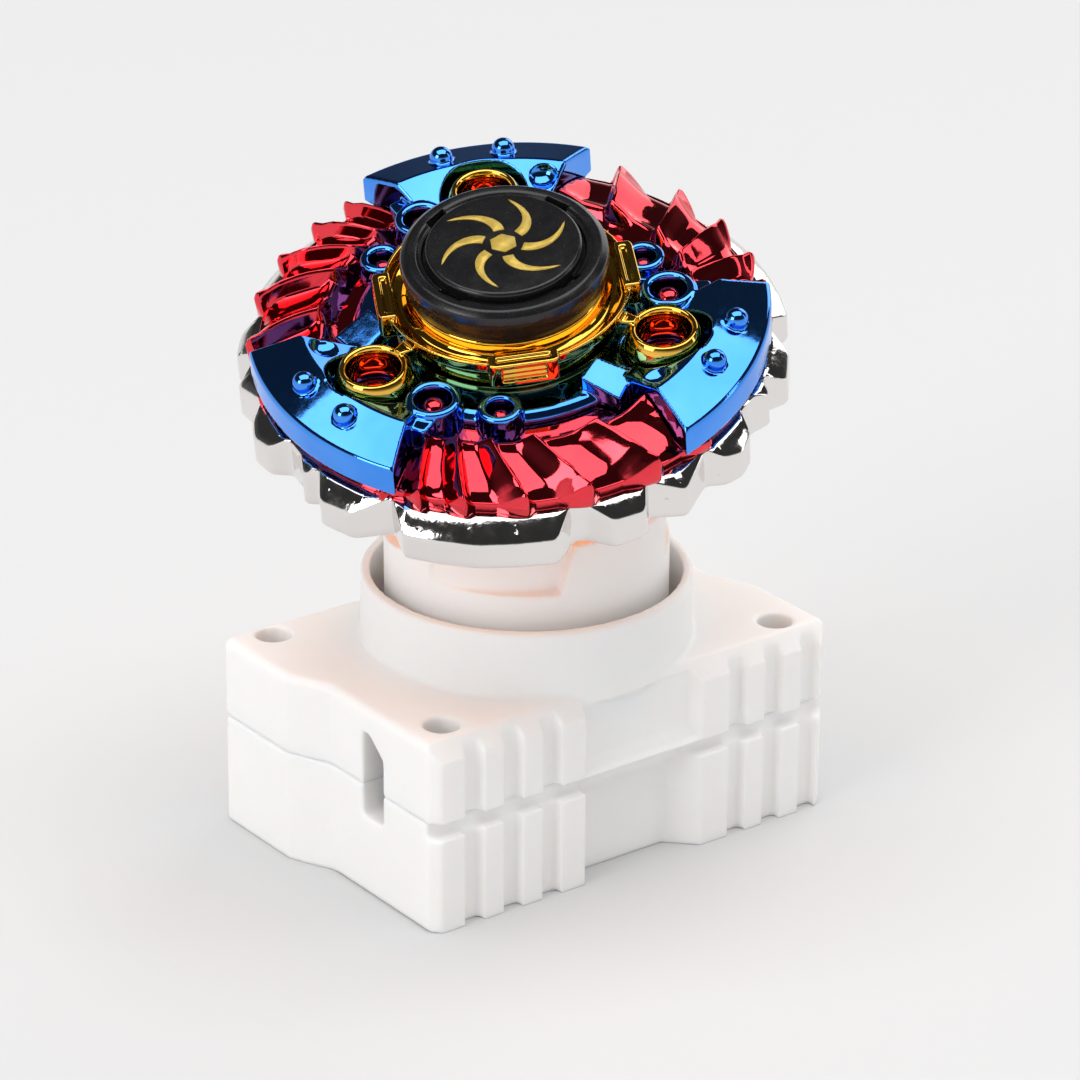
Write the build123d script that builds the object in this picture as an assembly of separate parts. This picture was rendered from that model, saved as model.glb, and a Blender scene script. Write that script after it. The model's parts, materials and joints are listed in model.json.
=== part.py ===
"""Light-up spinning top leaning in the rotor of its rip-cord launcher.

Launcher frame: origin on the resting plane under the rotor's axis, +X along the long side,
+Z up.  The top is drawn in a frame of its own, with Z along its spin axis and h = 0 at the
outer top edge of the blue lobes, and is then leaned into the rotor's mouth.
"""
import os
from math import cos, radians, sin

from build123d import *

# Launcher housing
half_length = 25.7          # long side, to the wide end of each flank
flank_inset = 2.1           # step between the wide and the narrow part of a flank
half_width = 16.9
top_z = 20.2
seam_z = 11.7
wall = 1.8
cavity_half_length = 20.2
cavity_half_width = 12.4
collar_top = 27.1
collar_outer = 16.55
collar_inner = 15.6
lip_radius = 14.5
grip_pitch = 4.65
grip_groove_width = 2.1
grip_groove_depth = 0.9
grip_band_bottom = 10.0
waist_depth = 2.7
brow_start = 15.5
screw_spots = [(-19.7, -12.9), (-21.2, 13.7), (19.7, 12.9), (21.4, -13.1)]
counterbore = 1.8
screw_post = 2.9
screw_seat = 13.4
screw_end = 4.0

# Rotor and pinion
hub_radius = 14.2
hub_bore = 12.2
hub_flange = 15.0
hub_bottom = 17.3
hub_floor = 28.0
ramp_low = 30.0
ramp_high = 35.1
ramp_starts = [128, 308]
ramp_sweep = 125
axle_radius = 1.25
running_clearance = 0.05
spigot_radius = 2.6
pinion_teeth = 12
pinion_root = 3.8
pinion_tip = 5.5
pinion_bottom = 8.0
pinion_top = 16.6
slot_near = 5.0             # rip-cord slot, distance in front of the rotor's axis
slot_far = 8.4
slot_bottom = 8.4
slot_top = 17.4

# Lean of the top in the rotor's mouth
top_place = (-5.95, -4.69, 57.43)
lean_angle = 19.7
lean_heading = -136.9

# Top: radii and heights along its own axis
ring_outer = 27.1
ring_bottom = -9.0
ring_edge = -5.6
ring_deck = -4.4
ring_inner = 19.0
blade_outer = 25.6
blade_floor = -3.2
plate_top = -2.0
plate_outer = 15.0
apron_inner = 15.1
lobe_outer = 25.2
lobe_half_angle = 27
lobe_centre = 61            # heading of the first lobe, others follow every 120 degrees
blade_start = 210           # heading at which the first group of blades starts
eyelet_place = 16.0
eyelet_bore = 2.4
pocket_radius = 4.5
bosses = [(15.4, 25, 1.75, 0.9), (14.6, 49, 1.25, 0.2)]     # radius, offset, bore, height
blades = [(1, 3.2), (11, 3.6), (22, 4.2), (36, 5.4), (53, 5.4)]     # offset, width
core_radius = 9.0
core_neck = 9.5
core_flange = 12.05
core_rim = 3.1
tab_headings = [151, 241, 331]
cap_radius = 10.0
cap_bottom = 3.6
cap_seat = 5.6
cap_top = 7.3
disc_radius = 7.5
disc_bottom = 6.4
disc_top = 7.8
print_height = 0.08
print_inner = 2.0
print_outer = 6.5
ledge_radius = 7.1
body_radius = 12.3
body_step = -19.6
body_end = -26.0
tip_centre = -29.5
tip_radius = 1.5
shaft_radius = 1.0

thirds = [0, 120, 240]
os.makedirs("parts", exist_ok=True)


def save(name, solids):
    """Write one node, either a single solid or a group of separate solids."""
    if isinstance(solids, list):
        solids = Compound(children=solids)
    solids.label = name
    export_step(solids, "parts/" + name + ".step")


def tube(outer, inner, low, high):
    """Upright ring between two heights."""
    ring = Pos(0, 0, low) * extrude(Circle(outer), high - low)
    if inner:
        ring -= Pos(0, 0, low - 1) * extrude(Circle(inner), high - low + 2)
    return ring


def block(x0, x1, y0, y1, z0, z1):
    """Box given by its lowest and highest corners."""
    centre = Pos((x0 + x1) / 2, (y0 + y1) / 2, (z0 + z1) / 2)
    return centre * Box(x1 - x0, y1 - y0, z1 - z0)


def polar(radius, angle, height=0):
    """Point at a radius and a heading in degrees."""
    return (radius * cos(radians(angle)), radius * sin(radians(angle)), height)


def turned(shape, angle):
    return Rot(0, 0, angle) * shape


def both_ways(shape):
    """The shape and its copy turned half a turn about the rotor's axis."""
    return shape + turned(shape, 180)


def revolved(points):
    """Solid of revolution about Z from (radius, height) points."""
    face = make_face(Polyline(*[(r, 0, h) for r, h in points], close=True))
    return revolve(face, Axis.Z)


def fused(shapes):
    result = shapes[0]
    for shape in shapes[1:]:
        result += shape
    return result


# ---------------------------------------------------------------- housing

def plan_outline():
    """Flank points of the right-hand side, repeated half a turn round for the left."""
    near = half_length - flank_inset
    side = [
        (half_length - 1.3, -half_width),
        (half_length, -half_width + 1.3),
        (half_length, -5.0),
        (near, -0.4),
        (near, half_width - 1.0),
        (near - 1.0, half_width),
    ]
    return side + [(-x, -y) for x, y in side]


def housing_block(low, high):
    return Pos(0, 0, low) * extrude(make_face(Polyline(*plan_outline(), close=True)), high - low)


def grip_grooves():
    """Upright grooves of the two finger grips on one long face."""
    left = [-18.6 + i * grip_pitch for i in range(3)]
    right = [13.8 + i * grip_pitch for i in range(3)]
    cuts = []
    for x in left + right:
        cuts.append(block(x - grip_groove_width / 2, x + grip_groove_width / 2,
                          -half_width - 1, -half_width + grip_groove_depth, -1, top_z + 1))
    return fused(cuts)


def wedge_along_x(points, x0, x1):
    """Prism along X from (y, z) points."""
    plane = Plane(origin=(x0, 0, 0), x_dir=(0, 1, 0), z_dir=(1, 0, 0))
    return extrude(plane * make_face(Polyline(*points, close=True)), x1 - x0)


def waist(section):
    """Recess of a (y, z) section between the grips, square at its left, slanted at its right."""
    face = -half_width
    points = [(-5.0, face - 1), (-5.0, face + waist_depth), (6.6, face + waist_depth),
              (6.6 + waist_depth, face), (6.6 + waist_depth, face - 1)]
    plan = Pos(0, 0, -2) * extrude(make_face(Polyline(*points, close=True)), top_z + 4)
    return wedge_along_x(section, -6, 12) & plan


def screw_posts(low, high):
    """Round posts at the four case screws, kept behind the grip grooves."""
    reach = half_width - grip_groove_depth - 0.2
    keep = block(-half_length, half_length, -reach, reach, low, high)
    return [Pos(x, y, low) * extrude(Circle(screw_post), high - low) & keep for x, y in screw_spots]


def cord_slot():
    """Rip-cord passage right through the housing, with one corner cut off."""
    points = [(-slot_near, slot_bottom), (-slot_far, slot_bottom), (-slot_far, slot_top - 2),
              (-slot_near - 1.1, slot_top), (-slot_near, slot_top)]
    return wedge_along_x(points, -half_length - 2, half_length + 2)


def make_upper_shell():
    shell = housing_block(seam_z, top_z)
    shell = chamfer(shell.faces().sort_by(Axis.Z)[-1].edges(), 0.5)
    brow = wedge_along_x([(-half_width - 1, top_z + 1), (-half_width - 1, 17.3),
                          (-half_width, 18.2), (-brow_start, top_z + 0.02),
                          (-brow_start, top_z + 1)], -half_length - 1, half_length + 1)
    recess = waist([(-half_width - 1, 12.0), (-half_width + 0.4, 12.0),
                    (-half_width + 1.1, 13.4), (-half_width + 1.1, 19.2),
                    (-half_width + 0.5, 20.0), (-half_width - 1, 20.0)])
    for cut in (brow, grip_grooves(), recess):
        shell -= both_ways(cut)
    shell -= block(-cavity_half_length, cavity_half_length, -cavity_half_width,
                   cavity_half_width, seam_z - 1, top_z - 2.0)
    shell += Pos(0, 0, top_z - 1.0) * extrude(Circle(collar_outer), collar_top - top_z + 1.0)
    shell = fillet(shell.edges().filter_by(GeomType.CIRCLE).sort_by(Axis.Z)[-1], 0.35)
    for post in screw_posts(seam_z, top_z - 1.0):
        shell += post
    shell -= tube(collar_inner, 0, top_z, collar_top + 1)
    shell -= tube(lip_radius, 0, 5.0, top_z + 1)
    shell -= tube(hub_flange + 0.25, 0, hub_bottom - 0.6, top_z - 1.2)
    for x, y in screw_spots:
        shell -= Pos(x, y, screw_seat) * extrude(Circle(counterbore), top_z)
        shell -= Pos(x, y, seam_z - 1.0) * extrude(Circle(1.1), top_z)
    return shell - cord_slot()


def make_lower_shell():
    shell = housing_block(0, seam_z)
    band = block(-half_length - 2, half_length + 2, -half_width - 2, -half_width + 1.2,
                 grip_band_bottom, seam_z + 1)
    recess = waist([(-half_width - 1, seam_z + 1), (-half_width + 1.8, seam_z + 1),
                    (-half_width + 1.8, 10.0), (-half_width + waist_depth, 8.8),
                    (-half_width + waist_depth, -1), (-half_width - 1, -1)])
    for cut in (grip_grooves(), band, recess):
        shell -= both_ways(cut)
    shell = chamfer(shell.faces().sort_by(Axis.Z)[0].edges().filter_by(
        lambda edge: edge.length > 12), 0.4)
    shell -= block(-cavity_half_length, cavity_half_length, -cavity_half_width,
                   cavity_half_width, wall, seam_z + 1)
    for post in screw_posts(wall - 0.5, seam_z):
        shell += post
    for x, y in screw_spots:
        shell -= Pos(x, y, screw_end - 0.2) * extrude(Circle(0.85), seam_z)
    shell += tube(3.6, 0, wall - 0.5, 6.4)
    shell -= tube(axle_radius, 0, 2.2, 7.0)
    for y in (-slot_far - 1.2, 8.6):
        shell += block(-15.5, 15.5, y - 0.6, y + 0.6, wall - 0.5, seam_z - 1.0)
    return shell - cord_slot()


def make_case_screw(x, y):
    screw = tube(1.6, 0, screw_seat, screw_seat + 1.4)
    screw += tube(0.85, 0, screw_end, screw_seat + 0.5)
    for angle in (0, 90):
        screw -= turned(block(-1.0, 1.0, -0.2, 0.2, screw_seat + 0.8, screw_seat + 2), angle)
    return Pos(x, y, 0) * screw


# ---------------------------------------------------------------- rotor

def ramp_height(angle):
    """Height of the helical rim at a heading inside one ramp."""
    return ramp_low + (ramp_high - ramp_low) * angle / ramp_sweep


def ramp_cutter(start):
    """What is cut away above one helical ramp."""
    sections = []
    steps = 8
    for i in range(steps + 1):
        angle = ramp_sweep * i / steps
        plane = Plane(origin=(0, 0, 0), x_dir=polar(1, start + angle), z_dir=polar(1, start + angle - 90))
        low = ramp_height(angle)
        outline = [(10.5, low), (17.0, low), (17.0, 45.0), (10.5, 45.0)]
        sections.append(plane * make_face(Polyline(*outline, close=True)))
    return loft(sections, ruled=True)


def relief_cutter(start):
    """Spiral hollow on the outside of the wall, deepest at a slanted step."""
    deep = 1.3
    sweep = 56
    inner = ThreePointArc(polar(hub_radius + 0.02, start),
                          polar(hub_radius - deep * 0.45, start + sweep / 2),
                          polar(hub_radius - deep, start + sweep))
    step = Line(polar(hub_radius - deep, start + sweep), polar(hub_radius + 2, start + sweep))
    outer = ThreePointArc(polar(hub_radius + 2, start + sweep),
                          polar(hub_radius + 2, start + sweep / 2), polar(hub_radius + 2, start))
    close = Line(polar(hub_radius + 2, start), polar(hub_radius + 0.02, start))
    face = make_face([inner, step, outer, close])
    slant = polar(0.27, start + sweep + 90, 1)
    return Pos(0, 0, ramp_low) * extrude(face, 6.0, dir=slant)


def make_rotor_hub():
    hub = tube(hub_radius, 0, hub_bottom, ramp_high)
    hub += tube(hub_flange, 0, hub_bottom, hub_bottom + 1.2)
    hub -= tube(hub_bore, 0, hub_floor, ramp_high + 1)
    hub -= tube(hub_bore, 0, hub_bottom - 1, hub_floor - 2.0)
    for start in ramp_starts:
        hub -= ramp_cutter(start)
        hub -= relief_cutter(start + 63)
    hub += tube(4.0, 0, pinion_top, hub_floor - 1.0)
    hub += tube(spigot_radius, 0, pinion_bottom, pinion_top + 1.0)
    for angle in thirds:
        hub += turned(block(3.0, hub_bore + 0.5, -0.7, 0.7, hub_bottom + 1.5, hub_floor - 1.0), angle)
    return hub - tube(axle_radius + running_clearance, 0, pinion_bottom - 1, 24.0)


def make_pinion():
    """Straight-toothed gear pressed on the hub's spigot."""
    half_root = 360 / pinion_teeth * 0.30
    half_tip = 360 / pinion_teeth * 0.14
    points = []
    for i in range(pinion_teeth):
        middle = 90 + i * 360 / pinion_teeth
        points.append(polar(pinion_root, middle - half_root))
        points.append(polar(pinion_tip, middle - half_tip))
        points.append(polar(pinion_tip, middle + half_tip))
        points.append(polar(pinion_root, middle + half_root))
    gear = extrude(make_face(Polyline(*points, close=True)), pinion_top - pinion_bottom)
    return Pos(0, 0, pinion_bottom) * gear - tube(spigot_radius, 0, 0, 30)


# ---------------------------------------------------------------- top: metal and plastic layers

def ring_outline():
    """Toothed edge: third-turn headings and radii of its corners."""
    corners = [
        (1, ring_outer), (8, ring_outer), (16, ring_outer + 0.15), (24, ring_outer), (32, ring_outer),
        (36, 24.6), (39, 24.7), (44, 26.5), (51, 26.6), (54, 24.5), (61, 26.2), (70, 24.8),
        (73, 25.9), (77, 26.5), (82, 26.0), (85, 24.6), (90, 24.9), (94, 25.9), (97, 25.0),
        (101, 26.8), (109, 26.6), (116, 24.5),
    ]
    points = []
    for third in thirds:
        for angle, radius in corners:
            points.append(polar(radius, blade_start + third + angle))
    return points


def make_metal_ring():
    blank = make_face(Polyline(*ring_outline(), close=True))
    ring = Pos(0, 0, ring_bottom) * extrude(blank, ring_deck - ring_bottom)
    rise = ring_deck - ring_edge
    bevel = revolved([(0, ring_deck), (25.2, ring_deck), (25.2 + 3.0, ring_deck - 2.0 * rise),
                      (30, ring_deck - 2.0 * rise), (30, ring_bottom - 1), (0, ring_bottom - 1)])
    ring = ring & bevel
    return ring - tube(ring_inner, 0, ring_bottom - 1, 0)


def make_blade(heading, width, lift):
    """One sharp leaning ridge, running outwards and down."""
    inner_r = 16.0
    length = blade_outer - inner_r
    plane = Plane(origin=(inner_r, 0, 0), x_dir=(0, 1, 0), z_dir=(1, 0, 0))
    near = [(-width * 0.5, -4.0), (width * 0.5, -4.0), (width * 0.12, lift - 0.6)]
    far = [(-width * 0.62, -4.0), (width * 0.62, -4.0), (-width * 0.05, lift - 2.4)]
    start = plane * make_face(Polyline(*near, close=True))
    end = plane.offset(length) * make_face(Polyline(*far, close=True))
    return turned(loft([start, end], ruled=True), heading)


def boss_room(radius, heading, bore):
    """Room round one boss, cut out of the blade ring."""
    return Pos(*polar(radius, heading)) * tube(bore + 1.0, 0, blade_floor, 2)


def boss_pin(radius, heading, bore):
    """Red pin with a rounded head that stands in one boss."""
    return Pos(*polar(radius, heading)) * revolved([
        (0, blade_floor - 0.8), (bore * 0.62, blade_floor - 0.8), (bore * 0.62, -0.9),
        (bore * 0.45, -0.4), (0, -0.2)])


def make_blade_ring():
    """Red ring: a flat base, three groups of blades and the pins of the bosses."""
    ring = tube(24.4, ring_inner + 0.4, ring_deck, blade_floor)
    ring += tube(ring_inner - 0.2, 11.2, -5.6, blade_floor)
    for third in thirds:
        for offset, width in blades:
            ring += make_blade(blade_start + third + offset, width, -0.4)
    ring = ring & tube(blade_outer, 0, -6, 0)
    ring -= tube(18.1, 0, blade_floor, 1)
    apron = lobe_sector(31.5, apron_inner, 18.4, blade_floor - 0.1, blade_floor + 1.0)
    for third in thirds:
        ring += turned(apron, blade_start + third + 32)
    for third in thirds:
        lobe = lobe_centre + third
        ring -= turned(lobe_sector(lobe_half_angle + 0.6, 14.0, 27, blade_floor, 1), lobe)
        ring -= turned(lobe_sector(10.0, 12.0, 18.5, blade_floor, 1), lobe - 29)
    for third in thirds:
        for radius, offset, bore, _ in bosses:
            heading = lobe_centre + third + offset
            ring -= boss_room(radius, heading, bore)
            ring += boss_pin(radius, heading, bore)
    return ring


def lobe_sector(half_angle, inner, outer, low, high):
    """Ring sector centred on the +X direction."""
    arc_out = ThreePointArc(polar(outer, -half_angle), polar(outer, 0), polar(outer, half_angle))
    arc_in = ThreePointArc(polar(inner, half_angle), polar(inner, 0), polar(inner, -half_angle))
    face = make_face([arc_out, Line(arc_out @ 1, arc_in @ 0), arc_in, Line(arc_in @ 1, arc_out @ 0)])
    return Pos(0, 0, low) * extrude(face, high - low)


def make_lobe():
    """Raised lobe with its crown, rivet domes, square pad and the two bosses beside it."""
    body = lobe_sector(lobe_half_angle, 14.2, lobe_outer, blade_floor, 1.4)
    crown = revolved([(0, 1.4), (17.0, 1.3), (21.0, 0.8), (lobe_outer, 0), (lobe_outer, -4), (0, -4)])
    body = body & crown
    for side in (-7, 9):
        body += Pos(*polar(22.4, side, 0.55)) * Sphere(1.15)
    body += block(10.4, 14.8, -8.2, -4.4, blade_floor, 0.1)
    for radius, offset, bore, height in bosses:
        body += Pos(*polar(radius, offset)) * tube(bore + 0.85, 0, blade_floor, height)
    return body


def make_lobe_cover():
    """Blue cover: inner plate and three lobes, with pockets for the eyelets."""
    cover = tube(plate_outer, 10.4, blade_floor, plate_top)
    for third in thirds:
        cover += turned(make_lobe(), lobe_centre + third)
    for third in thirds:
        lobe = lobe_centre + third
        spot = Pos(*polar(eyelet_place, lobe))
        cover -= spot * tube(pocket_radius, 0, plate_top, 3)
        cover -= spot * tube(eyelet_bore + 0.2, 0, -4, 3)
        for radius, offset, bore, _ in bosses:
            cover -= Pos(*polar(radius, lobe + offset)) * tube(bore, 0, -4, 3)
    cover -= tube(12.4, 0, 0, 3)
    return cover - tube(10.4, 0, -5, 3)


def make_tab():
    """Raised clip on the rim of the gold dish, with chamfered ends and a recessed face."""
    tab = block(11.0, 12.6, -3.4, 3.4, 0.9, 3.5)
    tab = chamfer(tab.edges().filter_by(Axis.Z).sort_by(Axis.X)[-2:], 0.9)
    return tab - block(12.3, 13.0, -2.1, 2.1, 1.5, 3.1)


def make_gold_core():
    """Cup and neck under the cap, dished flange, three eyelets and three clips."""
    core = revolved([(7.0, 1.0), (7.0, cap_seat), (core_radius, cap_seat), (core_radius, 3.5),
                     (core_neck, 3.4), (core_neck, 1.9), (10.2, 1.6), (11.3, 2.0),
                     (core_flange - 0.3, core_rim), (core_flange, core_rim - 0.2),
                     (core_flange - 0.2, 1.9), (10.2, 0.2), (10.2, -3.4), (7.0, -3.4)])
    eyelet = revolved([(eyelet_bore, -0.4), (eyelet_bore + 0.3, 1.7), (eyelet_bore + 0.7, 1.8),
                       (eyelet_bore + 1.3, 0.1), (eyelet_bore + 1.3, -0.4)])
    arm = block(10.0, eyelet_place - eyelet_bore - 0.4, -0.8, 0.8, 0.3, 1.5)
    for third in thirds:
        core += turned(arm, lobe_centre + third)
        core += Pos(*polar(eyelet_place, lobe_centre + third)) * eyelet
    for heading in tab_headings:
        core += turned(make_tab(), heading)
    return core


def make_cap_ring():
    """Deep rounded black ring with four catch notches inside its rim."""
    ring = revolved([(ledge_radius, cap_seat), (core_radius + 0.05, cap_seat),
                     (core_radius + 0.05, cap_bottom), (cap_radius - 0.3, cap_bottom),
                     (cap_radius, cap_bottom + 0.3), (cap_radius, cap_top - 0.6),
                     (cap_radius - 0.6, cap_top), (disc_radius + 0.35, cap_top),
                     (disc_radius + 0.35, disc_bottom), (ledge_radius, disc_bottom)])
    notch = block(disc_radius, disc_radius + 1.0, -1.3, 1.3, disc_bottom - 0.4, cap_top + 0.2)
    for i in range(4):
        ring -= turned(notch, 15 + 90 * i)
    return ring


def make_inlay():
    """Generic printed motif: six swirling blades round a hexagon."""
    hollow = []
    bulge = []
    for i in range(12):
        share = i / 12
        radius = print_inner + (print_outer - print_inner) * share
        width = 30 * (1 - share) ** 0.55 / (1 + 1.1 * share)
        hollow.append(polar(radius, 58 * share ** 1.3 - 9))
        bulge.append(polar(radius, 58 * share ** 1.3 - 9 + width))
    outline = hollow + [polar(print_outer, 49)] + bulge[::-1]
    blade = extrude(make_face(Polyline(*outline, close=True)), print_height)
    pieces = [turned(blade, i * 60) for i in range(6)]
    pieces.append(extrude(RegularPolygon(1.35, 6), print_height))
    return [Pos(0, 0, disc_top) * piece for piece in pieces]


# ---------------------------------------------------------------- top: light, cells and tip

def make_light_body():
    """Translucent bowl under the metal ring, open at the top."""
    bowl = revolved([(17.6, ring_bottom), (17.6, ring_bottom - 1.2),
                     (body_radius + 1.0, ring_bottom - 2.2), (body_radius, ring_bottom - 3.4), (body_radius, body_step),
                     (9.8, body_step - 3.2), (8.6, body_end), (6.8, body_end), (6.8, -24.4),
                     (8.0, -21.6), (10.7, body_step + 0.6), (10.7, ring_bottom)])
    for third in thirds:
        bowl -= Pos(*polar(15.0, lobe_centre + third + 60)) * tube(1.7, 0, -13, 0)
    return bowl


def make_frame_plate():
    """Black carrier between the metal ring, the gold core and the light body."""
    plate = revolved([(0, -7.2), (18.8, -7.2), (18.8, -8.8), (10.5, -8.8), (10.5, -12.6),
                      (9.7, -12.6), (9.7, -8.8), (0, -8.8)])
    plate += tube(6.6, 4.8, -7.2, 4.8)
    for third in thirds:
        plate -= Pos(*polar(15.0, lobe_centre + third + 60)) * tube(0.8, 0, -12, 0)
    return plate


def make_body_screw(angle):
    """Screw up through the carrier into the blade ring."""
    screw = tube(1.5, 0, -9.2, -8.8)
    screw += tube(0.8, 0, -9.0, -5.6)
    return Pos(*polar(15.0, angle)) * screw


def make_circuit_board():
    return tube(9.2, 0, -10.4, -9.4)


def make_leds():
    lamps = []
    for third in thirds:
        lamp = Pos(*polar(7.2, third)) * (tube(1.4, 0, -12.6, -10.4) + Pos(0, 0, -12.6) * Sphere(1.4))
        lamps.append(lamp & tube(11, 0, -15, -10.4))
    return lamps


def make_cells():
    return [Pos(0, 0, -15.3 - 3.7 * i) * fillet(Cylinder(3.9, 3.5).edges(), 0.25) for i in range(3)]


def make_contacts():
    """Spring plate against the board and the dished plate under the stack."""
    upper = tube(3.0, 0, -12.2, -11.9) + tube(1.0, 0, -13.45, -12.0) + tube(1.0, 0, -12.0, -10.4)
    lower = tube(4.2, 0, -24.95, -24.55)
    return [upper, lower]


def make_motion_switch():
    """Small upright spring switch that closes as the top spins."""
    can = tube(1.2, 0, -14.8, -10.4)
    return Pos(*polar(6.6, 60)) * can


def make_cell_tube():
    """Insulating sleeve that holds the stack of cells."""
    return tube(4.8, 4.05, -24.4, -12.8)


def make_base_cover():
    """Screw-in cap under the light body, bored for the tip's bush."""
    cover = revolved([(0, -24.95), (6.6, -24.95), (6.6, body_end - 0.15), (8.2, body_end - 0.15),
                      (7.6, -27.2), (3.4, -28.0), (0, -28.0)])
    for angle in (0, 90, 180, 270):
        cover -= turned(block(4.6, 6.4, -0.5, 0.5, -29, -26.9), angle)
    return cover - tube(2.0, 0, -30, -25.4)


def make_tip_bush():
    return tube(2.0, shaft_radius + running_clearance, -28.3, -25.4)


def make_tip_shaft():
    return tube(shaft_radius, 0, -29.0, -25.7)


def make_tip():
    tip = Pos(0, 0, tip_centre) * Sphere(tip_radius)
    tip += tube(tip_radius, 0, tip_centre, -28.6)
    return tip - tube(shaft_radius, 0, -29.0, -28.0)


# ---------------------------------------------------------------- assembly

lean = Pos(*top_place) * Rot(0, 0, lean_heading) * Rot(0, lean_angle, 0) * Rot(0, 0, -lean_heading)


def save_top(name, solids):
    """Lean a part of the top into its place and write it."""
    if isinstance(solids, list):
        save(name, [lean * solid for solid in solids])
    else:
        save(name, lean * solids)


save("upper_shell", make_upper_shell())
save("lower_shell", make_lower_shell())
save("case_screws", [make_case_screw(x, y) for x, y in screw_spots])
save("axle_pin", tube(axle_radius, 0, 2.2, 23.4))
save("thrust_washer", tube(3.4, axle_radius + 0.1, 6.9, 7.6))
save("rotor_hub", make_rotor_hub())
save("drive_pinion", make_pinion())

save_top("metal_ring", make_metal_ring())
save_top("blade_ring", make_blade_ring())
save_top("lobe_cover", make_lobe_cover())
save_top("gold_core", make_gold_core())
save_top("cap_ring", make_cap_ring())
save_top("face_disc", tube(disc_radius, 0, disc_bottom, disc_top))
save_top("face_inlay", make_inlay())
save_top("frame_plate", make_frame_plate())
save_top("body_screws", [make_body_screw(lobe_centre + third + 60) for third in thirds])
save_top("light_body", make_light_body())
save_top("circuit_board", make_circuit_board())
save_top("leds", make_leds())
save_top("motion_switch", make_motion_switch())
save_top("cell_contacts", make_contacts())
save_top("button_cells", make_cells())
save_top("cell_sleeve", make_cell_tube())
save_top("base_cover", make_base_cover())
save_top("tip_bush", make_tip_bush())
save_top("tip_shaft", make_tip_shaft())
save_top("tip", make_tip())
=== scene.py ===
"""Light-up spinning top leaning in its rip-cord launcher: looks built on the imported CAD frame.

Parts of the top are drawn in millimetres in the top's own frame (Z along its spin axis, h = 0
at the outer top edge of the blue lobes) and are then leaned into place with the record's joint.
"""

import json
from math import cos, hypot, pi, radians, sin, sqrt

import bmesh
import bpy
from mathutils import Matrix, Vector


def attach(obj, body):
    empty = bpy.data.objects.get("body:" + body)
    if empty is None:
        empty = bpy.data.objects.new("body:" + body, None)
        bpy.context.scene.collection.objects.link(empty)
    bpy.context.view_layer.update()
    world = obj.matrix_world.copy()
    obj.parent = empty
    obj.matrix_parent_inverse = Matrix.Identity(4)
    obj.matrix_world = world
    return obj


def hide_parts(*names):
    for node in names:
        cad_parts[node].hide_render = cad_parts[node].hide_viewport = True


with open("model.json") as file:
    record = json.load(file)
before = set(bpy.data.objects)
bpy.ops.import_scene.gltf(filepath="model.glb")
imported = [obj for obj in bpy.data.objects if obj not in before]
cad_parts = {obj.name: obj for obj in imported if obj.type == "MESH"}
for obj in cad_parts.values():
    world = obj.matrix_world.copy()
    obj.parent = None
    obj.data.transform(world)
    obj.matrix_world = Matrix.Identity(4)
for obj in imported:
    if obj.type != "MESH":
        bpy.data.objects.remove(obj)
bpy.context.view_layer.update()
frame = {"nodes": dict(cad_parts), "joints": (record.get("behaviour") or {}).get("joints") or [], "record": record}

MM = 0.001
THIRDS = (0, 120, 240)
LOBE = 61                   # heading of the first blue lobe
LOBE_HALF = 27
LOBE_R = 25.2
LOBE_INNER = 14.2
LOBE_CREASE = 20.3          # radius of the ridge across a lobe
COVER_FLOOR = -3.1          # underside of the blue cover
BLADES = 210                # heading at which the first blade group starts
GAP_FLOOR = -3.2            # where the red ring is cut away under the blue cover
RED_FLOOR = -4.5
RING_INNER = 19.2
RING_BOTTOM = -9.0
RING_DECK = -4.4
CONE_R = 25.2               # outside this radius the metal ring falls away
CONE_SLOPE = 0.8
EYELET_R = 16.0
BOSSES = ((15.4, 25, 1.75, 0.9), (14.6, 49, 1.25, 0.2))     # radius, heading, bore, height
TABS = (151, 241, 331)

spin = next(j for j in frame["joints"] if j["name"] == "top_spin")
lean = Vector((0, 0, 1)).rotation_difference(Vector(spin["axis"])).to_matrix().to_4x4()
TOP = Matrix.Translation(spin["pos_m"]) @ lean @ Matrix.Scale(MM, 4)


# ---------------------------------------------------------------- mesh helpers

def polar(radius, heading, height=0.0):
    return Vector((radius * cos(radians(heading)), radius * sin(radians(heading)), height))


def add_object(name, data):
    obj = bpy.data.objects.new(name, data)
    bpy.context.scene.collection.objects.link(obj)
    return obj


def mesh_object(name, points, faces):
    mesh = bpy.data.meshes.new(name)
    mesh.from_pydata([tuple(p) for p in points], [], faces)
    mesh.validate()
    return add_object(name, mesh)


def outward(obj):
    """Face normals pointing out."""
    shape = bmesh.new()
    shape.from_mesh(obj.data)
    bmesh.ops.recalc_face_normals(shape, faces=shape.faces)
    shape.to_mesh(obj.data)
    shape.free()
    return obj


def grid_faces(rows, columns, wrap_rows=False, wrap_columns=False):
    """Quads of a grid of points numbered row by row."""
    faces = []
    for i in range(rows if wrap_rows else rows - 1):
        for j in range(columns if wrap_columns else columns - 1):
            i2, j2 = (i + 1) % rows, (j + 1) % columns
            faces.append((i * columns + j, i * columns + j2, i2 * columns + j2, i2 * columns + j))
    return faces


def lathe(name, profile, spot=(0, 0, 0), steps=96):
    """Closed ring of revolution from a closed (radius, height) profile."""
    points = []
    for i in range(steps):
        turn = 360 * i / steps
        for radius, height in profile:
            points.append(polar(max(radius, 0.0001), turn, height) + Vector(spot))
    return outward(mesh_object(name, points, grid_faces(steps, len(profile), True, True)))


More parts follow.
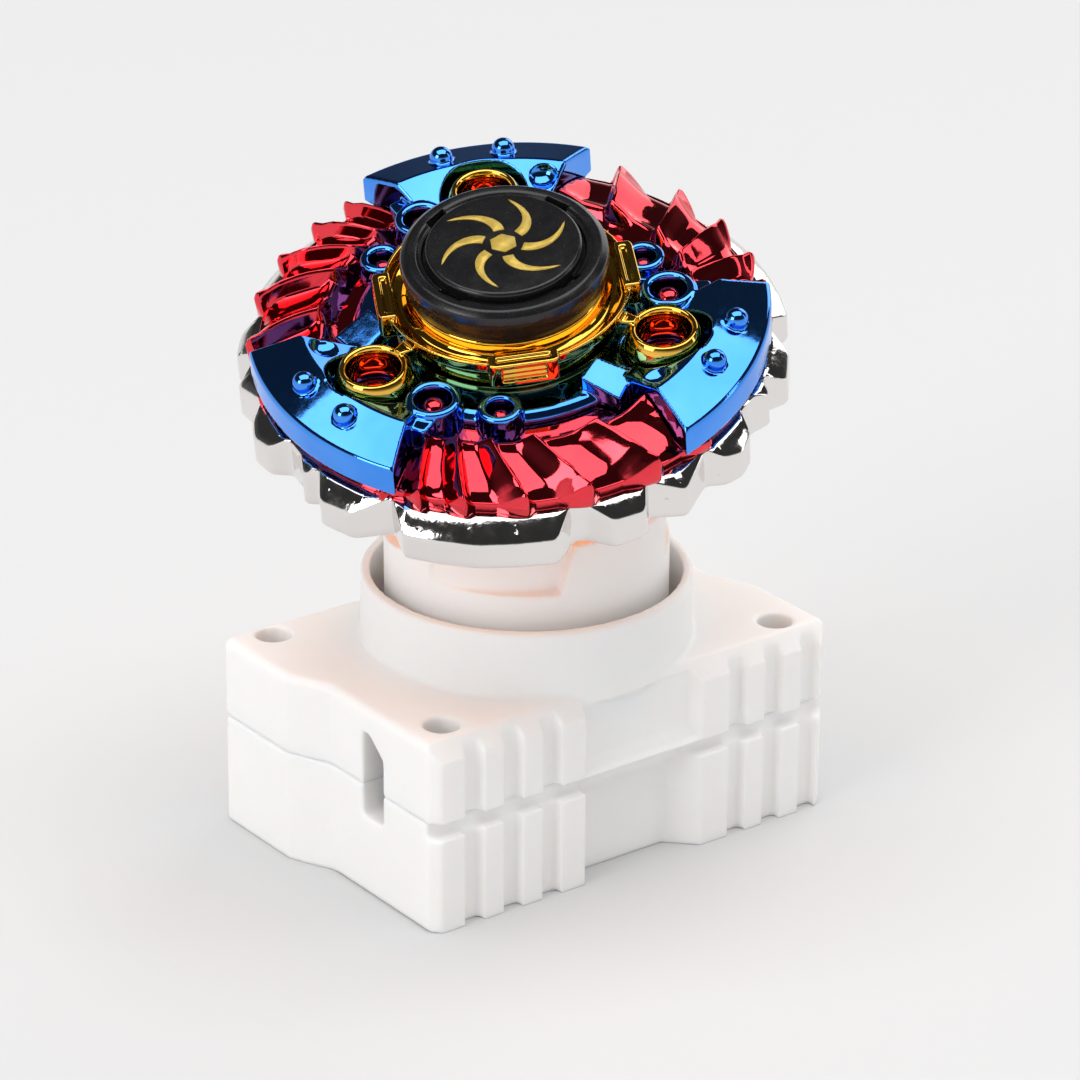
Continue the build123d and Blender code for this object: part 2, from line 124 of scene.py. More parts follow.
def rounded(profile, radius, steps=4):
    """A closed (x, y) outline with every corner turned into a small arc."""
    result = []
    count = len(profile)
    for i in range(count):
        here = Vector(profile[i])
        before = Vector(profile[i - 1]) - here
        after = Vector(profile[(i + 1) % count]) - here
        reach = min(radius, before.length * 0.45, after.length * 0.45)
        start = here + before.normalized() * reach
        end = here + after.normalized() * reach
        for k in range(steps + 1):
            t = k / steps
            result.append(tuple((1 - t) ** 2 * start + 2 * t * (1 - t) * here + t * t * end))
    return result


def prism(name, outline, low, high):
    """Upright prism over an (x, y) outline."""
    count = len(outline)
    points = [(x, y, low) for x, y in outline] + [(x, y, high) for x, y in outline]
    faces = [tuple(range(count)), tuple(range(count, 2 * count))]
    for i in range(count):
        j = (i + 1) % count
        faces.append((i, j, count + j, count + i))
    return outward(mesh_object(name, points, faces))


def box(name, x0, x1, y0, y1, low, high):
    return prism(name, [(x0, y0), (x1, y0), (x1, y1), (x0, y1)], low, high)


def ball(name, spot, radius, squash=1.0):
    shape = bmesh.new()
    bmesh.ops.create_uvsphere(shape, u_segments=32, v_segments=20, radius=radius)
    for vertex in shape.verts:
        vertex.co.z *= squash
        vertex.co += Vector(spot)
    mesh = bpy.data.meshes.new(name)
    shape.to_mesh(mesh)
    shape.free()
    return add_object(name, mesh)


def turned(obj, heading):
    obj.data.transform(Matrix.Rotation(radians(heading), 4, "Z"))
    return obj


def joined(name, pieces):
    """One object from several."""
    shape = bmesh.new()
    for piece in pieces:
        shape.from_mesh(piece.data)
        bpy.data.objects.remove(piece)
    mesh = bpy.data.meshes.new(name)
    shape.to_mesh(mesh)
    shape.free()
    return add_object(name, mesh)


def bake_modifiers(obj):
    """Replace the mesh with what its modifiers make of it."""
    graph = bpy.context.evaluated_depsgraph_get()
    mesh = bpy.data.meshes.new_from_object(obj.evaluated_get(graph))
    obj.modifiers.clear()
    obj.data = mesh
    return obj


def soft_edges(obj, width, angle):
    """Small bevel on every edge sharper than an angle."""
    soft = obj.modifiers.new("soft", "BEVEL")
    soft.width = width
    soft.segments = 2
    soft.limit_method = "ANGLE"
    soft.angle_limit = radians(angle)
    soft.harden_normals = True
    return bake_modifiers(obj)


def cut(obj, tools):
    """Subtract tools from obj."""
    tool = joined("tool", tools)
    carve = obj.modifiers.new("carve", "BOOLEAN")
    carve.operation = "DIFFERENCE"
    carve.solver = "EXACT"
    carve.use_self = True
    carve.object = tool
    bake_modifiers(obj)
    bpy.data.objects.remove(tool)
    return obj


def weld(obj, voxel, rounds, keep=1.0):
    """Melt overlapping solids into one skin with softly filled corners."""
    melt = obj.modifiers.new("melt", "REMESH")
    melt.mode = "VOXEL"
    melt.voxel_size = voxel
    soften = obj.modifiers.new("soften", "SMOOTH")
    soften.iterations = rounds
    soften.factor = 0.5
    if keep < 1:
        thin = obj.modifiers.new("thin", "DECIMATE")
        thin.ratio = keep
    return bake_modifiers(obj)


def settle(obj, matrix, body, material, slot, *nodes):
    """Move a finished mesh into the row frame, give it its finish and let it ride."""
    obj.data.transform(matrix)
    obj.data.polygons.foreach_set("use_smooth", [True] * len(obj.data.polygons))
    obj.data.materials.clear()
    obj.data.materials.append(material)
    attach(obj, body)
    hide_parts(*nodes)


def edge_drop(distance, radius):
    """How far a rounded edge of that radius has fallen at a distance from the border."""
    if distance >= radius:
        return 0.0
    return radius - sqrt(max(radius * radius - (radius - distance) ** 2, 0.0))


# ---------------------------------------------------------------- materials

def new_material(name, colour, roughness, metallic=0.0):
    material = bpy.data.materials.new(name)
    material.use_nodes = True
    shader = material.node_tree.nodes["Principled BSDF"]
    shader.inputs["Base Color"].default_value = (*colour, 1)
    shader.inputs["Roughness"].default_value = roughness
    shader.inputs["Metallic"].default_value = metallic
    return material


def add(material, kind, **inputs):
    node = material.node_tree.nodes.new(kind)
    for key, value in inputs.items():
        node.inputs[key.replace("_", " ")].default_value = value
    return node


def link(material, source, output, target, entry):
    material.node_tree.links.new(source.outputs[output], target.inputs[entry])


def noise_node(material, scale, detail=4.0, roughness=0.6):
    """Noise in the piece's own place, scale in features per metre."""
    place = material.node_tree.nodes.new("ShaderNodeTexCoord")
    texture = add(material, "ShaderNodeTexNoise", Scale=scale, Detail=detail, Roughness=roughness)
    link(material, place, "Object", texture, "Vector")
    return texture


def ramp(material, texture, stops):
    """Colour ramp after a texture: stops are (place, colour or grey value)."""
    node = material.node_tree.nodes.new("ShaderNodeValToRGB")
    link(material, texture, "Fac", node, "Fac")
    while len(node.color_ramp.elements) < len(stops):
        node.color_ramp.elements.new(0.5)
    for element, (place, colour) in zip(node.color_ramp.elements, stops):
        element.position = place
        element.color = (*colour, 1) if isinstance(colour, tuple) else (colour, colour, colour, 1)
    return node


def bump(material, texture, strength, distance, after=None):
    node = add(material, "ShaderNodeBump", Strength=strength, Distance=distance)
    link(material, texture, "Fac", node, "Height")
    if after:
        link(material, after, "Normal", node, "Normal")
    shader = material.node_tree.nodes["Principled BSDF"]
    link(material, node, "Normal", shader, "Normal")
    return node


def tinted_chrome(name, colour, deep, roughness=0.05):
    """Vacuum-plated tinted plastic: slight waviness and tiny specks in the lacquer."""
    material = new_material(name, colour, roughness, 1.0)
    shader = material.node_tree.nodes["Principled BSDF"]
    shader.inputs["Specular Tint"].default_value = (1, 1, 1, 1)
    cloud = noise_node(material, 90, 3)
    tint = ramp(material, cloud, [(0.35, deep), (0.65, colour)])
    link(material, tint, "Color", shader, "Base Color")
    haze = noise_node(material, 1400, 5, 0.7)
    gloss = ramp(material, haze, [(0.45, roughness), (0.72, roughness + 0.05), (0.80, 0.32)])
    link(material, gloss, "Color", shader, "Roughness")
    wave = bump(material, noise_node(material, 260, 2), 0.25, 0.00006)
    bump(material, noise_node(material, 3200, 3), 0.12, 0.00001, wave)
    return material


def silver_chrome():
    """Plated die-casting with small casting pits."""
    material = new_material("silver_chrome", (0.80, 0.775, 0.76), 0.07, 1.0)
    shader = material.node_tree.nodes["Principled BSDF"]
    haze = noise_node(material, 900, 5, 0.7)
    gloss = ramp(material, haze, [(0.40, 0.05), (0.68, 0.14), (0.78, 0.35)])
    link(material, gloss, "Color", shader, "Roughness")
    wave = bump(material, noise_node(material, 260, 4), 0.45, 0.00012)
    pits = noise_node(material, 700, 2, 0.4)
    specks = ramp(material, pits, [(0.70, 1.0), (0.76, 0.0)])
    dent = add(material, "ShaderNodeBump", Strength=0.8, Distance=0.00012)
    link(material, specks, "Color", dent, "Height")
    link(material, wave, "Normal", dent, "Normal")
    link(material, dent, "Normal", shader, "Normal")
    return material


def white_plastic():
    """Warm white moulded plastic with a faint satin grain."""
    material = new_material("white_plastic", (0.92, 0.91, 0.90), 0.42)
    shader = material.node_tree.nodes["Principled BSDF"]
    shader.inputs["Subsurface Weight"].default_value = 0.25
    shader.inputs["Subsurface Radius"].default_value = (1.0, 0.62, 0.42)
    shader.inputs["Subsurface Scale"].default_value = 0.0025
    cloud = noise_node(material, 60, 3)
    tone = ramp(material, cloud, [(0.3, (0.905, 0.893, 0.882)), (0.7, (0.925, 0.917, 0.908))])
    link(material, tone, "Color", shader, "Base Color")
    haze = noise_node(material, 700, 4)
    gloss = ramp(material, haze, [(0.3, 0.36), (0.7, 0.50)])
    link(material, gloss, "Color", shader, "Roughness")
    wave = bump(material, noise_node(material, 180, 2), 0.15, 0.0001)
    bump(material, noise_node(material, 5200, 3), 0.10, 0.00002, wave)
    return material


def black_cap():
    """Soft black moulding with fine dust and scuffs."""
    material = new_material("black_cap", (0.010, 0.010, 0.011), 0.24)
    shader = material.node_tree.nodes["Principled BSDF"]
    dust = noise_node(material, 4200, 6, 0.75)
    tone = ramp(material, dust, [(0.58, (0.008, 0.008, 0.009)), (0.68, (0.03, 0.03, 0.033)),
                                 (0.76, (0.14, 0.14, 0.15))])
    link(material, tone, "Color", shader, "Base Color")
    haze = noise_node(material, 500, 4)
    gloss = ramp(material, haze, [(0.35, 0.18), (0.7, 0.30)])
    link(material, gloss, "Color", shader, "Roughness")
    bump(material, noise_node(material, 2600, 5), 0.25, 0.00002)
    return material


def amber_plastic():
    material = new_material("amber_plastic", (1.0, 0.42, 0.05), 0.22)
    shader = material.node_tree.nodes["Principled BSDF"]
    shader.inputs["Transmission Weight"].default_value = 0.35
    shader.inputs["Subsurface Weight"].default_value = 0.6
    shader.inputs["Subsurface Radius"].default_value = (1.0, 0.4, 0.1)
    shader.inputs["Subsurface Scale"].default_value = 0.004
    # The emission is a painted glow: it makes the amber plastic shine by itself, standing in for light passing
    # through it.
    shader.inputs["Emission Color"].default_value = (1.0, 0.36, 0.04, 1)
    shader.inputs["Emission Strength"].default_value = 0.35
    cloud = noise_node(material, 150, 3)
    tone = ramp(material, cloud, [(0.3, (1.0, 0.36, 0.03)), (0.7, (1.0, 0.50, 0.08))])
    link(material, tone, "Color", shader, "Base Color")
    bump(material, noise_node(material, 600, 2), 0.1, 0.00005)
    return material


def fine_material(name, colour, roughness, metallic=0.0, grain=1500, relief=0.00002):
    """Plain finish with a fine variation in tone, gloss and relief."""
    material = new_material(name, colour, roughness, metallic)
    shader = material.node_tree.nodes["Principled BSDF"]
    dark = tuple(0.82 * c for c in colour)
    cloud = noise_node(material, grain, 4)
    tone = ramp(material, cloud, [(0.35, dark), (0.65, colour)])
    link(material, tone, "Color", shader, "Base Color")
    gloss = ramp(material, noise_node(material, grain * 0.5, 4),
                 [(0.3, roughness * 0.85), (0.7, min(1.0, roughness * 1.2))])
    link(material, gloss, "Color", shader, "Roughness")
    bump(material, cloud, 0.25, relief)
    return material


FINISH = {
    "silver_chrome": silver_chrome(),
    "red_chrome": tinted_chrome("red_chrome", (0.86, 0.062, 0.08), (0.80, 0.045, 0.065)),
    "blue_chrome": tinted_chrome("blue_chrome", (0.09, 0.35, 0.98), (0.06, 0.28, 0.92)),
    "gold_chrome": tinted_chrome("gold_chrome", (0.94, 0.58, 0.10), (0.86, 0.46, 0.06)),
    "white_plastic": white_plastic(),
    "black_rubber": black_cap(),
    "black_plastic": black_cap(),
    "gold_print": fine_material("gold_print", (0.72, 0.50, 0.09), 0.45, 0.3),
    "amber_plastic": amber_plastic(),
    "board_green": fine_material("board_green", (0.03, 0.22, 0.08), 0.4),
    "led_lens": fine_material("led_lens", (0.9, 0.9, 0.95), 0.12),
    "brass_contact": fine_material("brass_contact", (0.75, 0.55, 0.22), 0.3, 1.0),
    "cell_steel": fine_material("cell_steel", (0.72, 0.72, 0.72), 0.25, 1.0),
    "steel": fine_material("steel", (0.6, 0.6, 0.61), 0.28, 1.0),
    "tip_plastic": fine_material("tip_plastic", (0.88, 0.88, 0.87), 0.25),
}


# ---------------------------------------------------------------- the top's layers

# Corners of one third of the toothed edge: heading past the blades' start, radius
RING_CORNERS = (
    (1, 27.1), (8, 27.1), (16, 27.2), (24, 27.1), (32, 27.1),
    (36, 24.6), (39, 24.7), (44, 26.6), (51, 26.7), (54, 24.6), (61, 26.6), (70, 24.9),
    (73, 26.3), (77, 26.9), (82, 26.4), (85, 24.7), (90, 24.9), (94, 26.1), (97, 25.0),
    (101, 27.0), (109, 26.8), (116, 24.5),
)


def make_metal_ring():
    """Toothed die-cast ring: cut walls, one cone over all teeth, thin casting edge."""
    corners = []
    for third in THIRDS:
        for heading, radius in RING_CORNERS:
            corners.append(tuple(polar(radius, BLADES + third + heading)[:2]))
    outline = rounded(corners, 0.55, 4)
    rows = []
    for x, y in outline:
        radius = hypot(x, y)
        away = Vector((x, y, 0)).normalized()
        brow = RING_DECK - CONE_SLOPE * max(radius - CONE_R, 0.0)
        column = [(RING_INNER, RING_BOTTOM + 0.5), (19.6, RING_BOTTOM), (radius - 0.35, RING_BOTTOM),
                  (radius - 0.1, RING_BOTTOM + 0.08), (radius, RING_BOTTOM + 0.3)]
        for k in range(1, 6):
            column.append((radius, RING_BOTTOM + 0.3 + (brow - 0.55 - RING_BOTTOM) * k / 5))
        column += [(radius - 0.08, brow - 0.08), (radius - 0.25, brow + 0.08)]
        edge = min(radius - 0.3, CONE_R)
        column += [(edge + 0.1, RING_DECK - CONE_SLOPE * max(edge + 0.1 - CONE_R, 0) - 0.02),
                   (edge - 0.25, RING_DECK), (23.0, RING_DECK), (RING_INNER, RING_DECK)]
        rows.append([away * r + Vector((0, 0, h)) for r, h in column])
    points = [p for row in rows for p in row]
    ring = outward(mesh_object("metal_ring_cast", points,
                               grid_faces(len(rows), len(rows[0]), True, True)))
    return soft_edges(ring, 0.07, 28)


# Blade crests: heading at the inner end, heading at the outer end, extra height
CRESTS = ((-8, -6, 0.0), (-1, 3.5, 0.0), (8, 13.5, 0.0), (18, 27, 0.1), (30.5, 41, 0.25),
          (49.5, 57, 0.35), (68, 72, 0.3))
# Height along a crest, along a valley and over the apron inside them: radius, height
CREST_SHAPE = ((18.4, -0.45), (21.0, -0.60), (23.0, -1.05), (24.1, -1.6))
VALLEY_SHAPE = ((18.4, -1.25), (19.3, -1.9), (22.8, -2.5), (23.5, -2.9), (24.1, -3.4))
APRON_SHAPE = ((14.9, -2.3), (15.6, -2.35), (16.6, -2.55), (17.6, -1.95), (18.4, -1.0))
# Across one blade: share of the way to the next crest, and height between valley and crest
BLADE_SECTION = ((0.0, 1.0), (0.02, 0.96), (0.05, 0.78), (0.11, 0.18), (0.14, 0.05), (0.18, 0.0),
                 (0.30, 0.0), (0.46, 0.0), (0.55, 0.04), (0.61, 0.14), (0.72, 0.40), (0.84, 0.68),
                 (0.94, 0.91), (0.98, 0.98))
BLADE_ROWS = (14.9, 15.4, 16.0, 16.6, 17.1, 17.6, 18.0, 18.25, 18.4, 18.55, 18.8, 19.2, 19.8, 20.6,
              21.5, 22.4, 23.0, 23.5, 23.85, 24.1)
# Below the outer end of the top: share of the wall's depth, and how far it stands out
OUTER_WALL = ((0.03, 0.35), (0.12, 0.62), (0.28, 0.78), (0.55, 0.72), (0.85, 0.62), (1.0, 0.5))


def along(shape, place):
    """Height of a list of (place, height) points, straight between them."""
    if place <= shape[0][0]:
        return shape[0][1]
    for (x0, y0), (x1, y1) in zip(shape, shape[1:]):
        if place <= x1:
            return y0 + (y1 - y0) * (place - x0) / (x1 - x0)
    return shape[-1][1]


def smooth_step(value):
    value = max(0.0, min(1.0, value))
    return value * value * (3 - 2 * value)


def crest_heading(crest, radius):
    """Crests run outwards on a slant."""
    share = (radius - 18.4) / (25.2 - 18.4)
    return crest[0] + (crest[1] - crest[0]) * max(share, -0.35)


def blade_height(radius, rise, extra):
    """Top of the red ring at a radius, rise going from 0 in a valley to 1 on a crest."""
    sharp = smooth_step((radius - 17.3) / 1.2)
    valley = along(VALLEY_SHAPE, radius)
    crest = along(CREST_SHAPE, radius) + extra
    blade = valley + (crest - valley) * rise
    return blade * sharp + along(APRON_SHAPE, radius) * (1 - sharp)


def make_blade_group():
    """One third of the red ring: an apron, slanted blades and a scalloped outer wall."""
    columns = []
    for crest, following in zip(CRESTS, CRESTS[1:]):
        for share, rise in BLADE_SECTION:
            column = []
            extra = crest[2] + (following[2] - crest[2]) * share
            for radius in BLADE_ROWS:
                start, end = crest_heading(crest, radius), crest_heading(following, radius)
                heading = start + (end - start) * share
                column.append(polar(radius, heading, blade_height(radius, rise, extra)))
            edge = column[-1]
            heading = crest_heading(crest, 24.8) * (1 - share) + crest_heading(following, 24.8) * share
            claw = rise ** 0.6
            for depth, stand in OUTER_WALL:
                reach = BLADE_ROWS[-1] + stand * (0.15 + 1.05 * claw) + 0.35 * claw
                column.append(polar(reach, heading, edge.z + (RED_FLOOR - edge.z) * depth))
            column.append(polar(BLADE_ROWS[0], heading, RED_FLOOR))
            columns.append(column)
    points = [point for column in columns for point in column]
    rows = len(columns[0])
    faces = grid_faces(len(columns), rows, wrap_columns=True)
    faces.append(tuple(range(rows)))
    faces.append(tuple((len(columns) - 1) * rows + j for j in range(rows)))
    return outward(mesh_object("blades", points, faces))


def lobe_side(radius):
    """Half the angle a lobe spans at a radius: its sides are nearly parallel."""
    return LOBE_HALF - 0.5 * (LOBE_R - radius)


def lobe_plan(grow):
    """Outline of a lobe seen from above, its centre along +X."""
    corners = []
    for side in (1, -1):
        for radius in (14.0, 17.0, 20.0, 23.0)[::side]:
            corners.append(tuple(polar(radius, side * -(lobe_side(radius) + grow))[:2]))
        if side == 1:
            for i in range(-9, 10):
                corners.append(tuple(polar(LOBE_R + 0.2, LOBE_HALF * i / 9 * 1.02)[:2]))
    return corners


def make_blade_ring():
    """Red ring: base, three groups of slanted blades, and domed pins in the bosses."""
    groups = [turned(make_blade_group(), BLADES + third) for third in THIRDS]
    tools = []
    for third in THIRDS:
        lobe = LOBE + third
        tools.append(turned(prism("gap", lobe_plan(0.5), GAP_FLOOR, 2.0), lobe))
        pad = box("gap", 10.0, 15.1, -8.5, -4.0, GAP_FLOOR, 2.0)
        tools.append(turned(pad, lobe))
        for radius, heading, bore, _ in BOSSES:
            gap = [(0, GAP_FLOOR), (bore + 1.0, GAP_FLOOR), (bore + 1.0, 2), (0, 2)]
            tools.append(lathe("gap", gap, polar(radius, lobe + heading), 32))
    pieces = [cut(joined("blades", groups), tools)]
    pieces.append(lathe("red_base", rounded([(11.3, -5.5), (18.8, -5.5), (18.8, -4.4), (24.3, -4.4),
                                             (24.3, -3.3), (11.3, -3.3)], 0.15)))
    for third in THIRDS:
        for radius, heading, bore, height in BOSSES:
            spot = polar(radius, LOBE + third + heading)
            level = height - 1.5
            pin = [(0, -3.4), (bore * 0.72, -3.4), (bore * 0.72, level), (0, level)]
            pieces.append(lathe("pin", pin, spot, 32))
            pieces.append(ball("dome", spot + Vector((0, 0, level)), bore * 0.72, 0.85))
        spot = polar(EYELET_R, LOBE + third)
        floor = rounded([(0.02, -3.4), (2.7, -3.4), (2.7, -2.2), (1.5, -2.0), (1.3, -1.5),
                         (0.02, -1.3)], 0.2)
        pieces.append(lathe("eye_floor", floor, spot, 48))
    ring = joined("red_blades", pieces)
    return soft_edges(ring, 0.05, 35)


def lobe_top(radius, heading):
    """Crown of a lobe: falls outwards from a crease, and inwards to the eyelet."""
    if radius >= LOBE_CREASE:
        crown = 0.36 * (LOBE_R - radius)
    else:
        crown = 1.76 - 0.42 * (LOBE_CREASE - radius)
    across = (lobe_side(radius) - abs(heading)) * radius * pi / 180
    return crown - edge_drop(min(across, LOBE_R - radius), 0.3)


def make_lobe_body():
    """Closed solid of one lobe over a grid that follows its slanted sides."""
    columns, rows = 90, 56
    points = []
    for level in (0, 1):
        for i in range(columns):
            for j in range(rows):
                radius = LOBE_INNER + (LOBE_R - LOBE_INNER) * j / (rows - 1)
                heading = lobe_side(radius) * (2 * i / (columns - 1) - 1)
                height = lobe_top(radius, heading) if level else COVER_FLOOR
                points.append(polar(radius, heading, height))
    size = columns * rows
    faces = grid_faces(columns, rows)
    faces += [tuple(size + k for k in reversed(face)) for face in faces]
    border = [(i, 0) for i in range(columns)] + [(columns - 1, j) for j in range(1, rows)]
    border += [(i, rows - 1) for i in range(columns - 2, -1, -1)]
    border += [(0, j) for j in range(rows - 2, 0, -1)]
    loop = [i * rows + j for i, j in border]
    for a, b in zip(loop, loop[1:] + loop[:1]):
        faces.append((a, b, size + b, size + a))
    return outward(mesh_object("lobe", points, faces))


def make_lobe_cover():
    """Blue cover: plate, three crowned lobes with rivets, pads and the hollow bosses."""
    plate = rounded([(10.5, COVER_FLOOR), (14.95, COVER_FLOOR), (14.95, -1.6), (14.2, -1.05),
                     (10.5, -0.9)], 0.25)
    pieces = [lathe("plate", plate)]
    tools = [lathe("bore", [(0, -5), (10.5, -5), (10.5, 3), (0, 3)])]
    for third in THIRDS:
        lobe = LOBE + third
        pieces.append(turned(make_lobe_body(), lobe))
        corners = rounded([(10.6, -8.1), (14.7, -8.3), (14.6, -4.3), (10.8, -4.7)], 0.25)
        pad = prism("pad", corners, COVER_FLOOR, 0.2)
        for vertex in pad.data.vertices:
            if vertex.co.z > 0:         # tilt the top outwards
                vertex.co.z += 0.45 - 0.34 * (vertex.co.x - 10.6)
        pieces.append(turned(pad, lobe))
        step = rounded([(15.3, 6.6), (18.0, 7.6), (17.2, 9.4), (14.6, 8.4)], 0.4)
        pieces.append(turned(prism("step", step, COVER_FLOOR, 0.35), lobe))
        for side in (-7, 9):
            pieces.append(ball("rivet", polar(22.3, lobe + side, 1.45), 1.15, 0.95))
        for radius, heading, bore, height in BOSSES:
            spot = polar(radius, lobe + heading)
            wall = rounded([(bore, COVER_FLOOR), (bore + 0.95, COVER_FLOOR),
                            (bore + 0.9, height), (bore, height)], 0.42)
            pieces.append(lathe("boss", wall, spot, 48))
            tools.append(lathe("hole", [(0, -5), (bore, -5), (bore, 3), (0, 3)], spot, 48))
        spot = polar(EYELET_R, lobe)
        tools.append(lathe("pocket", [(0, -1.4), (4.1, -1.4), (4.4, 0.4), (4.8, 3), (0, 3)], spot, 64))
        tools.append(lathe("eye", [(0, -5), (2.7, -5), (2.7, 3), (0, 3)], spot, 64))
        tools.append(ball("scoop", polar(18.2, lobe - 19, 1.5), 1.6, 0.8))
    cover = cut(joined("blue_cover", pieces), tools)
    return weld(cover, 0.13, 5, 0.5)


def make_tab():
    """Raised clip over the rim of the dish, with bevelled ends and a ribbed window."""
    outline = rounded([(10.9, -3.3), (12.35, -3.3), (12.6, -2.7), (12.6, 2.7), (12.35, 3.3),
                       (10.9, 3.3)], 0.15)
    tab = prism("tab", outline, 0.9, 3.45)
    tools = [box("window", 12.35, 13.0, -2.1, 2.1, 1.45, 3.05),
             box("slot", 11.3, 11.9, -2.6, 2.6, 3.2, 3.8)]
    cut(tab, tools)
    ribs = [box("rib", 12.2, 12.5, -2.2, 2.2, low, low + 0.16) for low in (1.85, 2.4)]
    return joined("tab", [tab] + ribs)


def make_gold_core():
    """Gold neck and dished flange with three eyelets and three clips."""
    cup = rounded([(7.2, 1.0), (7.2, 5.5), (9.0, 5.5), (9.0, 3.5), (9.5, 3.4), (9.5, 2.1),
                   (10.2, 1.65), (11.2, 2.0), (11.7, 3.05), (12.0, 3.05), (11.9, 1.9),
                   (10.3, 0.3), (10.2, -3.2), (7.2, -3.2)], 0.22)
    pieces = [lathe("cup", cup, steps=160)]
    for third in THIRDS:
        lobe = LOBE + third
        eyelet = rounded([(2.40, -1.4), (2.45, 0.9), (2.7, 1.65), (3.1, 1.75), (3.55, 1.15),
                          (3.8, 0.2), (3.8, -1.4)], 0.28)
        pieces.append(lathe("eyelet", eyelet, polar(EYELET_R, lobe), 72))
        arm = rounded([(11.4, -0.95), (13.2, -0.45), (13.2, 0.45), (11.4, 0.95)], 0.2)
        pieces.append(turned(prism("arm", arm, 0.3, 1.9), lobe))
    for heading in TABS:
        pieces.append(turned(make_tab(), heading))
    return weld(joined("gold_cup", pieces), 0.11, 3, 0.45)


def make_cap_ring():
    """Deep rounded black ring, its inner wall stepped by four catch notches."""
    profile = rounded([(7.1, 5.65), (9.1, 5.65), (9.1, 3.65), (9.6, 3.65), (9.75, 4.9),
                       (10.0, 5.9), (9.9, 6.8), (9.25, 7.3), (8.45, 7.25), (8.1, 6.95),
                       (7.85, 6.95), (7.85, 6.4), (7.1, 6.4)], 0.2)
    ring = lathe("cap_rim", profile, steps=160)
    tools = []
    for i in range(4):
        tools.append(turned(box("notch", 7.4, 8.5, -1.3, 1.3, 6.1, 8.0), 15 + 90 * i))
    cut(ring, tools)
    return soft_edges(ring, 0.05, 40)


def make_face_disc():
    profile = rounded([(0.02, 6.42), (7.5, 6.42), (7.5, 7.55), (7.25, 7.8), (0.02, 7.8)], 0.18)
    return lathe("cap_disc", profile, steps=160)


def make_inlay():
    """Generic printed motif: six swirling blades round a hexagon."""
    low, high = 7.81, 7.88
    steps = 12
    pieces = [prism("hexagon", [tuple(polar(1.35, 60 * i)[:2]) for i in range(6)], low, high)]
    for i in range(6):
        hollow, bulge = [], []
        for k in range(steps + 1):
            share = k / steps
            radius = 2.0 + 4.5 * share
            heading = 60 * i + 58 * share ** 1.3 - 9
            width = 30 * (1 - share) ** 0.55 / (1 + 1.1 * share)
            hollow.append(tuple(polar(radius, heading)[:2]))
            bulge.append(tuple(polar(radius, heading + width)[:2]))
        pieces.append(prism("swirl", hollow + bulge[-2::-1], low, high))
    return joined("printed_motif", pieces)


def make_light_bowl():
    """Translucent bowl under the metal ring, with a stepped moulded foot."""
    profile = rounded([(17.6, -9.05), (17.6, -10.2), (13.4, -11.2), (12.3, -12.4), (12.3, -19.5),
                       (9.8, -22.7), (8.7, -25.9), (6.9, -25.9), (6.9, -24.4), (8.0, -21.7),
                       (10.7, -19.1), (10.7, -9.05)], 0.35)
    return lathe("amber_bowl", profile, steps=128)


def make_foot_cover():
    profile = rounded([(2.05, -25.5), (6.5, -25.0), (6.5, -26.15), (8.15, -26.15), (7.6, -27.1),
                       (3.4, -27.95), (2.05, -27.95)], 0.25)
    cover = lathe("foot_cover", profile, steps=128)
    tools = [turned(box("key", 4.6, 6.4, -0.5, 0.5, -29, -26.9), 90 * i) for i in range(4)]
    return cut(cover, tools)


def soften_shell(node, voxel, rounds, keep):
    """Moulded version of a CAD shell, with its edges and inside corners rounded."""
    mesh = frame["nodes"][node].data.copy()
    obj = add_object(node + "_moulded", mesh)
    shape = bmesh.new()
    shape.from_mesh(mesh)
    bmesh.ops.remove_doubles(shape, verts=shape.verts, dist=1e-7)
    shape.to_mesh(mesh)
    shape.free()
    return weld(obj, voxel * MM, rounds, keep)


build = (
    (make_metal_ring, "silver_chrome", "metal_ring"),
    (make_blade_ring, "red_chrome", "blade_ring"),
    (make_lobe_cover, "blue_chrome", "lobe_cover"),
    (make_gold_core, "gold_chrome", "gold_core"),
    (make_cap_ring, "black_rubber", "cap_ring"),
    (make_face_disc, "black_plastic", "face_disc"),
    (make_inlay, "gold_print", "face_inlay"),
    (make_light_bowl, "amber_plastic", "light_body"),
    (make_foot_cover, "black_plastic", "base_cover"),
)
for maker, finish, node in build:
    settle(maker(), TOP, "top_wheel", FINISH[finish], finish, node)

for node, body, voxel, keep in (("upper_shell", "launcher", 0.26, 0.5),
                                ("lower_shell", "launcher", 0.26, 0.5),
                                ("rotor_hub", "rotor", 0.2, 0.5)):
    shell = soften_shell(node, voxel, 3, keep)
    settle(shell, Matrix.Identity(4), body, FINISH["white_plastic"], "white_plastic", node)


# ---------------------------------------------------------------- CAD nodes that keep their shape

for entry in frame["record"]["subparts"]:
    obj = frame["nodes"][entry["node"]]
    obj.data.materials.clear()
    obj.data.materials.append(FINISH[entry["material_slot"]])


# ---------------------------------------------------------------- stage, light and camera

def area_light(name, spot, target, width, depth, power):
    data = bpy.data.lights.new(name, "AREA")
    data.shape = "RECTANGLE"
    data.size = width
    data.size_y = depth
    data.energy = power
    obj = add_object(name, data)
    obj.location = spot
    obj.rotation_euler = (Vector(target) - Vector(spot)).to_track_quat("-Z", "Y").to_euler()
    return obj


def make_floor():
    reach = 3
    corners = [(-reach, -reach, 0), (reach, -reach, 0), (reach, reach, 0), (-reach, reach, 0)]
    floor = mesh_object("floor", corners, [(0, 1, 2, 3)])
    floor.data.materials.append(new_material("floor_paper", (0.638, 0.640, 0.644), 0.9))


